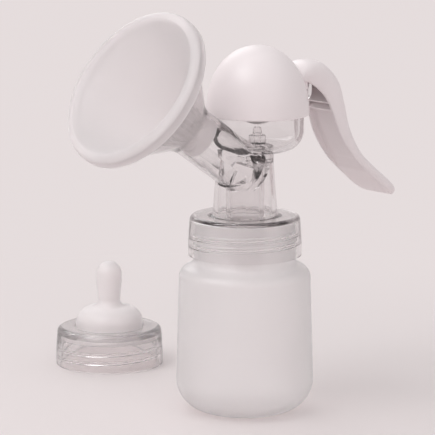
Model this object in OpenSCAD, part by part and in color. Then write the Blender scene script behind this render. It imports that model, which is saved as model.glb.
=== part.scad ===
// Manual breast pump on its bottle, with a spare teat in its screw ring.
// Millimetres, +Z up, origin at the centre of the bottle's base on the table.
// The funnel points to -X and the lever to +X.

/* [Bottle] */
// Widest diameter, just above the rounded foot
bottle_d = 68; // [62:1:76]
// Diameter where the side meets the shoulder
bottle_top_d = 65; // [60:1:72]
// Radius of the rounded foot
bottle_foot_r = 16; // [8:1:20]
// Height at which the side turns into the shoulder
bottle_side_h = 67; // [50:1:90]
// Radius of the shoulder's outer bend
shoulder_r = 6; // [4:0.5:8]
// Slope of the shoulder's outer bend from the side, in degrees
shoulder_turn = 62; // [50:1:70]
// Radius of the fillet at the root of the neck
neck_fillet_r = 4; // [2:0.5:5]
// Outer diameter of the neck, without its thread
neck_d = 50; // [46:0.5:52]
// Height of the straight neck
neck_h = 19; // [16:0.5:24]
// Wall thickness of the bottle
bottle_wall = 1.8; // [1.2:0.1:2.4]

/* [Collar and stem] */
// Wall thickness of the clear moulding
body_wall = 2; // [1.6:0.1:2.4]
// Radial room for the screw threads between the neck and the collar
thread_room = 1; // [0.8:0.1:1.6]
// Height of the collar
collar_h = 20; // [16:0.5:20]
// How much narrower the collar is at its top, on the radius
collar_draft = 0.9; // [0.4:0.1:1.4]
// Height of the stem from the collar to the bowl
stem_h = 31; // [26:0.5:40]
// Outer diameter of the stem at the collar
stem_low_d = 32; // [30:0.5:36]
// Outer diameter of the stem at the bowl
stem_top_d = 28; // [26:0.5:30]
// Outer diameter of the drop tube inside the stem
drop_tube_d = 19; // [16:0.5:20]
// How far the drop tube reaches down from the top of the collar
drop_tube_reach = 12; // [8:0.5:14]

/* [Funnel] */
// Rise of the funnel above the horizontal, in degrees
funnel_tilt = 34; // [30:1:35]
// Height of the tunnel's root below the bowl's floor, on the stem's axis
tunnel_drop = 9.5; // [9:0.5:12]
// Outer diameter of the tunnel
tunnel_d = 25; // [23:0.5:25.5]
// Length of the tunnel from the stem's axis to the horn
tunnel_l = 46; // [42:1:56]
// Length of the horn from the tunnel to its rim
horn_l = 38; // [32:1:44]
// Outer diameter of the horn's rim
mouth_d = 78; // [70:1:84]
// Depth of the bead round the horn's rim
rim_bead = 3; // [2:0.5:4]
// Wall thickness of the silicone cushion
cushion_wall = 1.6; // [1.2:0.1:2]
// How far the cushion's sleeve reaches into the tunnel
cushion_sleeve = 10; // [6:1:16]

/* [Bowl and diaphragm] */
// Offset of the bowl's axis from the bottle's axis, towards the lever
bowl_shift = 8; // [5:0.5:9]
// Outer diameter of the bowl
bowl_d = 45.6; // [42:0.2:50]
// Radius of the bowl's lower edge
bowl_corner_r = 10; // [7:0.5:11]
// Height of the bowl up to the edge of the dome
bowl_h = 18; // [16:0.5:22]
// Wall thickness of the bowl
bowl_wall = 2.6; // [2:0.1:3]
// Height of the bowl's rim above the edge of the dome
rim_h = 8; // [6:0.5:9]
// How far the bowl's rim steps in for the diaphragm's skirt
rim_step = 1.2; // [1:0.1:1.4]
// Thickness of the diaphragm
diaphragm_t = 0.9; // [0.7:0.1:1.2]
// How far the diaphragm's bulge hangs below the edge of the dome
bulge_drop = 4.8; // [3:0.2:5]
// Radius of the bulge, where it crosses the edge of the dome
bulge_r = 9.2; // [8:0.2:10]
// Radius of the air port's foot on the bowl's floor
port_r = 4.2; // [3.6:0.2:5]
// Radius of the air port's bore
port_bore_r = 1.3; // [1:0.1:1.5]
// Height of the air port above the bowl's underside
port_h = 11.8; // [10:0.2:12.2]

/* [Dome] */
// Height of the dome
dome_h = 34; // [32:0.5:38]
// Wall thickness of the dome
dome_wall = 1.8; // [1.4:0.1:2]

/* [Lever] */
// Distance of the pivot from the dome's edge
pivot_out = 4.6; // [4.4:0.2:6]
// Height of the pivot above the edge of the dome
pivot_up = 17.2; // [16.6:0.2:18]
// Radius of the pivot's trunnions
pivot_r = 2.5; // [2:0.1:2.6]
// Width of the lever over the arch
arch_w = 19; // [18:0.5:22]
// Width of the lever at the end of the grip
grip_w = 26; // [20:0.5:28]
// Wall thickness of the lever
lever_wall = 2.2; // [2:0.1:2.4]
// Full squeeze of the lever, in degrees
squeeze = 16; // [10:1:16]
// Width of the clear bracket that carries the pivot
bracket_w = 8; // [7:0.5:8]
// Radius of the round pegs at the ends of the fork
peg_r = 2.2; // [1.8:0.1:2.4]
// Radius of the plunger's stem
plunger_r = 3.4; // [3:0.1:3.6]
// Radius of the plunger's two flanges
flange_r = 6.5; // [6:0.1:6.6]

/* [Valve] */
// Length of the duckbill below its socket
duckbill_l = 17; // [12:1:20]
// Wall thickness of the valve
valve_wall = 1.2; // [0.8:0.1:1.4]

/* [Teat set] */
// Outer diameter of the teat's screw ring
ring_d = 57; // [55:0.5:62]
// Height of the screw ring
ring_h = 20; // [16:0.5:24]
// Thickness of the screw ring's top
ring_top = 3.4; // [2.4:0.2:4]
// Diameter of the teat where it leaves the ring
teat_d = 35.4; // [30:0.2:38]
// Height of the teat's round shoulder above the ring
teat_shoulder_h = 10.5; // [8:0.5:12]
// Diameter of the nipple
nipple_d = 13.5; // [12:0.5:15]
// Height of the teat above the ring
teat_h = 35; // [30:0.5:38]
// Wall thickness of the teat
teat_wall = 1.8; // [1.2:0.1:2.2]
// Place of the teat set across the table
teat_x = 10; // [0:1:20]
// Place of the teat set behind the bottle
teat_y = 120; // [110:1:130]

/* [Clearances] */
// Gap between pieces that are pushed together
seat_gap = 0.1; // [0.05:0.05:0.2]
// Radial gap of the pivot
pivot_gap = 0.05; // [0.03:0.01:0.1]
// Gap between pieces that move past each other
move_gap = 0.4; // [0.3:0.1:0.5]

/* [Hidden] */
$fn = 72;

white = "white";
clear = [0.86, 0.88, 0.9, 0.35];
milky = [0.9, 0.9, 0.88, 0.6];
silicone = [0.88, 0.87, 0.84, 0.7];

// Small overlap that joins solids of one moulding
bond = 0.5;

// Bottle
neck_r = neck_d / 2;
shoulder_end = [bottle_top_d / 2 - shoulder_r * (1 - cos(shoulder_turn)),
                bottle_side_h + shoulder_r * sin(shoulder_turn)];
shoulder_run = (shoulder_end.x - neck_r - neck_fillet_r * (1 - cos(shoulder_turn))) / sin(shoulder_turn);
neck_z = shoulder_end.y + shoulder_run * cos(shoulder_turn) + neck_fillet_r * sin(shoulder_turn);
rim_z = neck_z + neck_h;

// Collar, stem and drop tube
collar_bore_r = neck_r + thread_room;
collar_r = collar_bore_r + body_wall;
collar_top = rim_z + seat_gap + body_wall;
collar_z = collar_top - collar_h;
bowl_z = collar_top + stem_h;
drop_r = drop_tube_d / 2;
nozzle_z = collar_top - drop_tube_reach;

// Funnel, along its own axis from the stem's axis
funnel_z = bowl_z - tunnel_drop;
tunnel_r = tunnel_d / 2;
tunnel_bore_r = tunnel_r - body_wall;
mouth_r = mouth_d / 2;
horn_rim = tunnel_l + horn_l;
horn_slope = atan((mouth_r - tunnel_r) / horn_l);
horn_wall_r = body_wall / cos(horn_slope);

// Bowl and dome, on the bowl's axis
bowl_r = bowl_d / 2;
dome_z = bowl_z + bowl_h;
bowl_rim = dome_z + rim_h;
rim_r = bowl_r - rim_step;
bowl_bore_r = bowl_r - bowl_wall;
bead_h = 2.2;
bead_step = 1;
dome_in_r = bowl_r + bead_step;
dome_r = dome_in_r + dome_wall;
dome_power = 2.1;
skirt_h = 4.5;

// Pivot, fork and plunger
pivot_x = dome_r + pivot_out;
pivot_z = dome_z + pivot_up;
peg_z = pivot_z - pivot_x * tan(squeeze / 2);
cheek_y = arch_w / 2 - lever_wall;
// Half the width over the trunnion pockets, which leave a thin skin outside
pocket_y = arch_w / 2 - 0.8;
fork_y = plunger_r + 2 * move_gap;
groove = peg_r + move_gap;
// Half the height of a fork arm, its bend beside the plunger and its root in the hood
fork_half = 1.4;
fork_bend_x = flange_r + bond;
fork_root_x = pivot_x - pivot_r - fork_half;
fork_root_z = pivot_z - 2 * pivot_r;
arm_w = cheek_y + bond - fork_y;
flange_t = 1.6;
socket_r = 5;
socket_z = dome_z + 2;
spigot_r = 2.6;
bulge_z = dome_z - bulge_drop;

// Teat set
ring_bore_r = ring_d / 2 - body_wall - bond;
teat_flange_t = 2;

// Points of an arc about c from angle a to angle b
function arc(c, r, a, b, n = 8) = [for (i = [0:n]) c + r * [cos(a + (b - a) * i / n), sin(a + (b - a) * i / n)]];

function flip(list) = [for (i = [len(list) - 1:-1:0]) list[i]];

// Point at t on the smooth curve through the points p, one unit of t per point
function curve(p, t) =
    let (i = min(floor(t), len(p) - 2), u = t - i,
         a = p[max(i - 1, 0)], b = p[i], c = p[i + 1], d = p[min(i + 2, len(p) - 1)])
    (2 * b + (c - a) * u + (2 * a - 5 * b + 4 * c - d) * u * u + (3 * b - a - 3 * c + d) * u * u * u) / 2;

// Solid through rings of points, each ring a list of the same length
module loft(rings) {
    n = len(rings[0]);
    last = len(rings) - 1;
    sides = [for (i = [0:last - 1]) for (j = [0:n - 1])
        let (a = i * n + j, b = i * n + (j + 1) % n) each [[a, a + n, b], [b, a + n, b + n]]];
    caps = [[for (j = [0:n - 1]) j], [for (j = [n - 1:-1:0]) last * n + j]];
    polyhedron([for (ring = rings) each ring], concat(sides, caps), convexity = 6);
}

module on_bowl_axis() {
    translate([bowl_shift, 0, 0]) children();
}

// The funnel's axis becomes Z, measured from the stem's axis
module along_funnel() {
    translate([0, 0, funnel_z]) rotate([0, funnel_tilt - 90, 0]) children();
}

// Plate of width w across Y from an outline in the X-Z plane
module plate(w) {
    rotate([90, 0, 0]) linear_extrude(w, center = true) children();
}

// Round bar across Y
module cross_bar(x, z, r, w) {
    translate([x, 0, z]) rotate([90, 0, 0]) cylinder(r = r, h = w, center = true);
}

// The bottle's side from the foot to the neck, moved in by the wall thickness t
function bottle_side(t) = concat(
    arc([bottle_d / 2 - bottle_foot_r, bottle_foot_r], bottle_foot_r - t, -90, 0),
    arc([bottle_top_d / 2 - shoulder_r, bottle_side_h], shoulder_r - t, 0, shoulder_turn, 5),
    arc([neck_r + neck_fillet_r, neck_z], neck_fillet_r + t, 180 + shoulder_turn, 180, 5));

module bottle() {
    lip = bottle_wall / 3;
    color(milky) rotate_extrude() polygon(concat(
        [[0, 0]],
        bottle_side(0),
        [[neck_r, rim_z - lip], [neck_r - lip, rim_z], [neck_r - bottle_wall + lip, rim_z],
         [neck_r - bottle_wall, rim_z - lip]],
        flip(bottle_side(bottle_wall)),
        [[0, bottle_wall]]));
}

// Outside of the collar and the stem
module collar_and_stem() {
    top_r = collar_r - collar_draft;
    edge = 2;
    rotate_extrude() polygon(concat(
        [[0, collar_z], [collar_r, collar_z], [collar_r, collar_z + collar_h / 3]],
        arc([top_r - edge, collar_top - edge], edge, 0, 90, 4),
        [[stem_low_d / 2 + edge, collar_top]],
        arc([stem_low_d / 2 + edge, collar_top + edge], edge, 270, 180, 4),
        [[stem_top_d / 2, bowl_z - tunnel_drop / 2], [stem_top_d / 2, bowl_z + bond], [0, bowl_z + bond]]));
}

module drop_tube() {
    translate([0, 0, nozzle_z]) cylinder(r = drop_r, h = bowl_z - nozzle_z);
}

// Room for the bottle's neck, and the ring of room between the stem's shell and the drop tube
module stem_room() {
    low_r = stem_low_d / 2 - body_wall;
    top_r = stem_top_d / 2 - body_wall;
    ceiling = collar_top - body_wall;
    difference() {
        union() {
            translate([0, 0, collar_z - 1]) cylinder(r = collar_bore_r, h = ceiling - collar_z + 1);
            translate([0, 0, ceiling - bond])
                cylinder(r1 = low_r, r2 = top_r, h = bowl_z - tunnel_drop / 2 - ceiling + bond);
        }
        along_funnel() cylinder(r = tunnel_r, h = tunnel_l);
        drop_tube();
    }
}

// Tunnel and horn, with a bead round the horn's rim
module funnel_outside() {
    along_funnel() rotate_extrude() polygon([
        [0, -body_wall], [tunnel_r, -body_wall], [tunnel_r, tunnel_l], [mouth_r, horn_rim], [0, horn_rim]]);
    along_funnel() rotate_extrude() polygon([
        [mouth_r - rim_bead * tan(horn_slope) - bond, horn_rim - rim_bead],
        [mouth_r, horn_rim - rim_bead], [mouth_r, horn_rim], [mouth_r - bond, horn_rim]]);
}

module funnel_inside() {
    along_funnel() rotate_extrude() polygon([
        [0, 0], [tunnel_bore_r, 0], [tunnel_bore_r, tunnel_l],
        [mouth_r - horn_wall_r, horn_rim], [mouth_r - horn_wall_r, horn_rim + 1], [0, horn_rim + 1]]);
}

// Open bowl with the bead that holds the dome and the stepped rim that holds the diaphragm
module bowl() {
    on_bowl_axis() rotate_extrude() polygon(concat(
        [[0, bowl_z]],
        arc([bowl_r - bowl_corner_r, bowl_z + bowl_corner_r], bowl_corner_r, -90, 0),
        [[bowl_r, dome_z + move_gap], [dome_in_r - seat_gap, dome_z + move_gap],
         [dome_in_r - seat_gap, dome_z + bead_h], [rim_r, dome_z + bead_h], [rim_r, bowl_rim],
         [bowl_bore_r, bowl_rim]],
        arc([bowl_r - bowl_corner_r, bowl_z + bowl_corner_r], bowl_corner_r - bowl_wall, 0, -90),
        [[0, bowl_z + bowl_wall]]));
}

// Chimney that lets air, and no milk, pass between the tunnel and the bowl
module air_port() {
    foot_h = port_h * 2 / 3;
    on_bowl_axis() translate([0, 0, bowl_z + bond]) {
        cylinder(r = port_r, h = foot_h - bond);
        cylinder(r1 = port_r - bond, r2 = port_bore_r + bond, h = port_h - bond);
    }
}

module air_way() {
    duct_z = funnel_z + tunnel_drop / 2;
    on_bowl_axis() translate([0, 0, duct_z]) cylinder(r = port_bore_r, h = bowl_z + port_h - duct_z + 1);
    translate([0, 0, duct_z]) rotate([0, 90, 0]) cylinder(r = port_bore_r, h = bowl_shift);
}

// Strut from the bowl to an upright post, with a shoulder at its foot
module bracket() {
    post = pivot_r;
    knee_z = dome_z + pivot_up / 4;
    root_x = bowl_r - bowl_wall / 2;
    root_low = dome_z - 6;
    root_top = dome_z - 1.5;
    on_bowl_axis() {
        plate(bracket_w) polygon([
            [root_x, root_low], [bowl_r - bond, root_low + 1], [pivot_x - bond, knee_z],
            [pivot_x + post, knee_z + post], [pivot_x + post, pivot_z], [pivot_x - post, pivot_z],
            [pivot_x - post, knee_z + post], [pivot_x - 2 * post + bond, knee_z], [root_x, root_top]]);
        cross_bar(pivot_x, pivot_z, pivot_r + bond, 2 * (cheek_y - move_gap));
        cross_bar(pivot_x, pivot_z, pivot_r, 2 * (pocket_y - move_gap));
    }
}

module pump_body() {
    color(clear) difference() {
        union() {
            collar_and_stem();
            drop_tube();
            funnel_outside();
            bowl();
            air_port();
            bracket();
        }
        stem_room();
        funnel_inside();
        translate([0, 0, nozzle_z - 1]) cylinder(r = drop_r - body_wall, h = funnel_z + 2 - nozzle_z + 1);
        air_way();
    }
}

module duckbill_valve() {
    sleeve_r = drop_r + seat_gap;
    sleeve_h = drop_tube_reach - 2 * body_wall;
    bill_r = drop_r;
    tip = valve_wall * 0.75;
    slit = 0.3;
    floor_z = nozzle_z - seat_gap;
    bill_z = floor_z - duckbill_l;
    color(silicone) difference() {
        union() {
            translate([0, 0, floor_z - valve_wall])
                cylinder(r = sleeve_r + valve_wall, h = sleeve_h + valve_wall);
            intersection() {
                translate([0, 0, bill_z]) cylinder(r = bill_r, h = duckbill_l);
                plate(3 * bill_r) polygon([[-bill_r, floor_z], [-tip, bill_z], [tip, bill_z], [bill_r, floor_z]]);
            }
        }
        translate([0, 0, floor_z]) cylinder(r = sleeve_r, h = sleeve_h + 1);
        intersection() {
            translate([0, 0, bill_z]) cylinder(r = bill_r - valve_wall, h = duckbill_l + bond);
            plate(3 * bill_r) polygon([
                [valve_wall - bill_r, floor_z + bond], [-slit / 2, bill_z + 2 * valve_wall],
                [slit / 2, bill_z + 2 * valve_wall], [bill_r - valve_wall, floor_z + bond]]);
        }
        translate([-slit / 2, valve_wall - bill_r, bill_z - 1])
            cube([slit, 2 * (bill_r - valve_wall), 3 * valve_wall + 1]);
    }
}

// Silicone liner of the horn, rolled over its rim
module massage_cushion() {
    back_r = tunnel_bore_r - seat_gap;
    front_r = back_r - cushion_wall;
    lip_in = mouth_r + seat_gap;
    lip_r = lip_in + cushion_wall;
    back_cone = mouth_r - horn_wall_r - seat_gap / cos(horn_slope);
    roll = horn_rim + seat_gap;
    roll_r = 2 * cushion_wall;
    color(silicone) along_funnel() rotate_extrude() polygon(concat(
        [[front_r, tunnel_l - cushion_sleeve], [back_r, tunnel_l - cushion_sleeve], [back_r, tunnel_l],
         [back_cone, horn_rim], [back_cone, roll], [lip_in, roll], [lip_in, horn_rim - rim_bead - bond],
         [lip_r, horn_rim - rim_bead - bond]],
        arc([lip_r - roll_r, roll], roll_r, 0, 115, 10),
        [[front_r, tunnel_l + bond]]));
}

// Silicone dish hooked over the bowl's rim, with a bulge and a socket for the plunger in the middle
module diaphragm() {
    skirt_in = rim_r + seat_gap;
    skirt_r = skirt_in + diaphragm_t;
    top = bowl_rim + seat_gap;
    dish_r = bowl_bore_r - move_gap;
    ball_r = (bulge_r * bulge_r + bulge_drop * bulge_drop) / 2 / bulge_drop;
    ball_turn = asin(bulge_r / ball_r);
    ball_c = [0, bulge_z + ball_r];
    color(silicone) on_bowl_axis() difference() {
        rotate_extrude() polygon(concat(
            arc(ball_c, ball_r, -90, ball_turn - 90, 6),
            [[dish_r, top], [skirt_in, top], [skirt_in, bowl_rim - skirt_h], [skirt_r, bowl_rim - skirt_h],
             [skirt_r, top + diaphragm_t], [dish_r - diaphragm_t, top + diaphragm_t],
             [bulge_r - diaphragm_t / 2, dome_z + diaphragm_t], [socket_r, dome_z + diaphragm_t / 2],
             [socket_r, socket_z], [0, socket_z]]));
        translate([0, 0, bulge_z + diaphragm_t + bond])
            cylinder(r = spigot_r + seat_gap, h = socket_z - bulge_z);
    }
}

// Hard stem with a groove between two flanges for the fork
module plunger() {
    low = peg_z - groove - flange_t;
    high = peg_z + groove + flange_t;
    chamfer = 0.5;
    color(white) on_bowl_axis() rotate_extrude() polygon([
        [0, bulge_z + diaphragm_t + bond + seat_gap], [spigot_r, bulge_z + diaphragm_t + bond + seat_gap],
        [spigot_r, socket_z + seat_gap], [socket_r - bond, socket_z + seat_gap],
        [socket_r - bond, socket_z + seat_gap + flange_t], [plunger_r, socket_z + 2 * flange_t],
        [plunger_r, low], [flange_r - chamfer, low], [flange_r, low + chamfer], [flange_r, peg_z - groove],
        [plunger_r, peg_z - groove], [plunger_r, peg_z + groove], [flange_r, peg_z + groove],
        [flange_r, high - chamfer], [flange_r - chamfer, high], [0, high]]);
}

// Half outline of the dome, grown outwards by g
function dome_side(g, n = 20) = [for (i = [0:n]) let (a = 90 * i / n)
    [(dome_r + g) * pow(cos(a), 2 / dome_power), dome_z + (dome_h + g) * pow(sin(a), 2 / dome_power)]];

// Window that the fork passes, and notch for the bracket's strut
module dome_cover() {
    window_y = cheek_y + bond + move_gap;
    window_low = fork_root_z - fork_half - move_gap - dome_z;
    window_top = pivot_up + 1;
    notch_y = bracket_w / 2 + move_gap;
    notch_h = pivot_up / 4 + move_gap;
    color(white) on_bowl_axis() difference() {
        rotate_extrude() polygon(concat(dome_side(0), flip(dome_side(-dome_wall))));
        translate([dome_r / 2, -window_y, dome_z + window_low])
            cube([dome_r, 2 * window_y, window_top - window_low]);
        translate([dome_r / 2, -notch_y, dome_z - 1]) cube([dome_r, 2 * notch_y, notch_h + 1]);
    }
}

// Edges of the lever in the X-Z plane, from the pivot: from the hood at the dome, over the arch, to the tip
outer_edge = [[-13.7, -2], [-5.8, 5.4], [2.3, 7.3], [11.2, 4.6], [19, -3.2], [22.5, -14.2], [25.4, -27.2],
              [31.7, -39.5], [39.9, -47.6], [59.4, -62.5]];
inner_edge = [[-11.7, -3], [-5.1, -2.6], [0.8, -5.5], [6.3, -9.7], [9.9, -14.9], [13, -22.7], [16.9, -31.6],
              [23.6, -41.3], [32.8, -50.4], [55.2, -68]];
lever_end = len(outer_edge) - 1;
// Point of the edges from which the lever widens towards the grip
arch_end = 3;
lever_steps = 3;
channel_end = lever_end - 1;
// Places of the lever's sections, closing up towards the tip
section_places = concat(
    [for (i = [0:channel_end * lever_steps]) i / lever_steps],
    [for (i = [1:6]) channel_end + sin(15 * i)]);
// Places of the cross walls in the channel
rib_places = [4.1, 4.6];
// Length of the rounded tip, in steps between the edges' points
tip_l = 0.5;

function lever_w(t) = arch_w + (grip_w - arch_w) * max(0, t - arch_end) / (lever_end - arch_end);

// Share of the full section left in the rounded tip
function tip_round(t) = let (u = max(0, t - lever_end + tip_l) / tip_l) sqrt(1 - 0.9 * u * u);

// Point of the section at t: y across, h from the inner edge to the outer edge, as a share of the thickness
function lever_point(t, y, h) =
    let (a = curve(inner_edge, t), b = curve(outer_edge, t), e = a + (b - a) * (0.5 + (h - 0.5) * tip_round(t)))
    [pivot_x + e.x, y * tip_round(t), pivot_z + e.y];

// Crowned section: a flat inner side with rounded edges and a domed outer side
function lever_ring(t) =
    let (w = lever_w(t) / 2, flat = 0.92, base = 0.3, crown = 2 / 2.6)
    concat(
        [lever_point(t, -flat * w, 0), lever_point(t, flat * w, 0)],
        [for (i = [0:12]) let (a = 15 * i, c = cos(a), s = sin(a))
            lever_point(t, w * sign(c) * pow(abs(c), crown), base + (1 - base) * pow(abs(s), crown))]);

function lever_thickness(t) = norm(curve(outer_edge, t) - curve(inner_edge, t));

// Depth of the channel under the lever: deep in the arch, shallow along the grip
function channel_depth(t) =
    let (roof = lever_thickness(t) - lever_wall)
    max(0.4, min(roof, lookup(t, [[0, roof], [4, roof], [4.6, 4], [8, 2]])));

// Section of the channel, with sloped corners under its roof
function channel_ring(t) =
    let (w = lever_w(t) / 2 - lever_wall, d = channel_depth(t) / lever_thickness(t), low = -0.2,
         side = 0.78 * d, roof = 0.8 * w)
    [lever_point(t, -w, low), lever_point(t, w, low), lever_point(t, w, side), lever_point(t, roof, d),
     lever_point(t, -roof, d), lever_point(t, -w, side)];

// Cross wall inside the channel at t
module channel_rib(t) {
    half_t = 0.8;
    a = lever_point(t, 0, 0.06);
    b = lever_point(t, 0, 0.75);
    along = (b - a) / norm(b - a) * half_t;
    side = [along.z, 0, -along.x];
    plate(lever_w(t) - 2 * lever_wall + 2 * bond) polygon([for (p = [a - side, a + side, b + side, b - side]) [p.x, p.z]]);
}

// Fork arm from the hood's gusset through the window to a round peg, at one side of the plunger
module fork_arm() {
    bend_z = peg_z + fork_bend_x * tan(squeeze / 2);
    translate([0, fork_y + arm_w / 2, 0]) {
        plate(arm_w) polygon([
            [0, peg_z - fork_half], [fork_bend_x, bend_z - fork_half], [fork_root_x, fork_root_z - fork_half],
            [fork_root_x, fork_root_z + fork_half], [fork_bend_x, bend_z + fork_half], [0, peg_z + fork_half]]);
        cross_bar(0, peg_z, peg_r, arm_w);
    }
}

// Plate that joins a fork arm to the hood's roof
module fork_gusset() {
    reach = 2 * pivot_r;
    translate([0, fork_y + arm_w / 2, 0]) plate(arm_w) polygon([
        [fork_root_x - reach, fork_root_z - fork_half], [fork_root_x, fork_root_z - fork_half],
        [fork_root_x, pivot_z + reach - 1], [fork_root_x - reach, pivot_z]]);
}

module both_sides() {
    children();
    mirror([0, 1, 0]) children();
}

module handle() {
    color(white) on_bowl_axis() difference() {
        union() {
            difference() {
                union() {
                    difference() {
                        loft([for (t = section_places) lever_ring(t)]);
                        loft([for (i = [0:channel_end * lever_steps]) channel_ring(i / lever_steps)]);
                    }
                    for (t = rib_places) channel_rib(t);
                    both_sides() fork_gusset();
                }
                rotate_extrude() polygon(concat([[0, dome_z - 1]], dome_side(move_gap)));
            }
            both_sides() fork_arm();
        }
        cross_bar(pivot_x, pivot_z, pivot_r + pivot_gap, 2 * pocket_y);
    }
}

module on_teat_axis() {
    translate([teat_x, teat_y, 0]) children();
}

// Screw ring: drafted side, rounded top edge, a hole for the teat and a seat for the teat's flange
module teat_ring() {
    ring_r = ring_d / 2;
    edge = 2.4;
    hole_r = teat_d / 2 + seat_gap;
    seat_z = ring_h - ring_top;
    seat_r = ring_bore_r + bond;
    color(clear) on_teat_axis() rotate_extrude() polygon(concat(
        [[ring_bore_r, 0], [ring_r, 0], [ring_r, ring_h / 3]],
        arc([ring_r - collar_draft - edge, ring_h - edge], edge, 0, 90, 5),
        [[hole_r + 1, ring_h], [hole_r, ring_h - 1], [hole_r, seat_z], [seat_r, seat_z],
         [seat_r, seat_z - teat_flange_t - 2 * seat_gap], [ring_bore_r, seat_z - teat_flange_t - 2 * seat_gap]]));
}

// Teat: flange clamped under the ring, round shoulder, drawn-in neck and nipple, moved in by the wall t
function teat_side(t) =
    let (base_r = teat_d / 2, nip_r = nipple_d / 2, z = ring_h + teat_shoulder_h, tip_z = ring_h + teat_h,
         bend = teat_shoulder_h * 0.75, waist = base_r - bend - nip_r + 1)
    concat(
        [[base_r - t, ring_h + 0.8]],
        arc([base_r - bend, z - bend], bend - t, 0, 80, 6),
        arc([nip_r - 1 + waist, z + waist], waist + t, 260, 180, 6),
        [[nip_r - t, tip_z - nip_r - 4]],
        arc([0, tip_z - nip_r], nip_r - t, 0, 90, 8));

module teat() {
    flange_z = ring_h - ring_top - seat_gap;
    flange_out = ring_bore_r + bond - seat_gap;
    color(silicone) on_teat_axis() rotate_extrude() polygon(concat(
        [[teat_d / 2 - teat_wall, flange_z - teat_flange_t], [flange_out, flange_z - teat_flange_t],
         [flange_out, flange_z], [teat_d / 2, flange_z]],
        teat_side(0),
        flip(teat_side(teat_wall))));
}

bottle();
pump_body();
duckbill_valve();
massage_cushion();
diaphragm();
plunger();
dome_cover();
handle();
teat_ring();
teat();
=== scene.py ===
"""Looks of a hand-squeezed breast pump on its bottle, with a spare teat in its screw ring.

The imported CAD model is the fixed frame. Each visible piece is a numpy surface on the same sizes as its CAD
node. Shapes are worked out in millimetres and written to the meshes in metres.
"""

import math

import bmesh
import bpy
import numpy as np
from bpy.props import FloatProperty, FloatVectorProperty, PointerProperty
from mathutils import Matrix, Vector


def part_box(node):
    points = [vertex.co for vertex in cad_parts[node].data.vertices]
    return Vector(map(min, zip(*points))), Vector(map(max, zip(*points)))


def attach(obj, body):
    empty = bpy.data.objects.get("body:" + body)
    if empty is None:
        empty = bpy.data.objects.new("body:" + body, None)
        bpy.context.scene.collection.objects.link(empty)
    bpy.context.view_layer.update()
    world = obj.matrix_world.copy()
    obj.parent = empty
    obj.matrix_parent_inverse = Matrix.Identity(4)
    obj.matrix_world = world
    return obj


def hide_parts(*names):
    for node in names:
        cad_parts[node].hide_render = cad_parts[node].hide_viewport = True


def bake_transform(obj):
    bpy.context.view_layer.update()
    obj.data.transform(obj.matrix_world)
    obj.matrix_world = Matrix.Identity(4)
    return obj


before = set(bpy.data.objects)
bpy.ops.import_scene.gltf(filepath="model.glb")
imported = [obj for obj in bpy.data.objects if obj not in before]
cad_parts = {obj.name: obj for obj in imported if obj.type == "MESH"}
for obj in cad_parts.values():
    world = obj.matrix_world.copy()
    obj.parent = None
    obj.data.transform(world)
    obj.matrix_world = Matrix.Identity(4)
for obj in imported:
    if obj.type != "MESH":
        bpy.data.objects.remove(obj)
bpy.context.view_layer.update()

bl_info = {
    "name": "Manual breast pump",
    "version": (1, 0, 0),
    "blender": (4, 5, 0),
    "location": "View3D > Sidebar > Pump",
    "description": "Builds the visible pieces of a hand-squeezed breast pump around its CAD frame",
    "category": "Add Mesh",
}

MM = 0.001
# Millimetres: room round a soft piece in its seat, room round a moving piece, how far joined solids reach
# into each other, how far a cut reaches past a face, and the distance under which two points count as one
SEAT_GAP = 0.1
MOVE_GAP = 0.4
BOND = 0.5
PAST = 1.0
SAME = 1e-4


# Sizes and colours


def length(name, description, default):
    """A length in the sidebar: given in millimetres, kept in metres."""
    return FloatProperty(name=name, description=description, default=default * MM, min=0.0, unit="LENGTH",
                         subtype="DISTANCE", precision=5)


def angle(name, description, default):
    """An angle in the sidebar, given in degrees."""
    return FloatProperty(name=name, description=description, default=math.radians(default), unit="ROTATION",
                         subtype="ANGLE")


def colour(name, description, default):
    """A linear colour in the sidebar."""
    return FloatVectorProperty(name=name, description=description, default=default, size=3, min=0.0, max=1.0,
                               subtype="COLOR")


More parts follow.
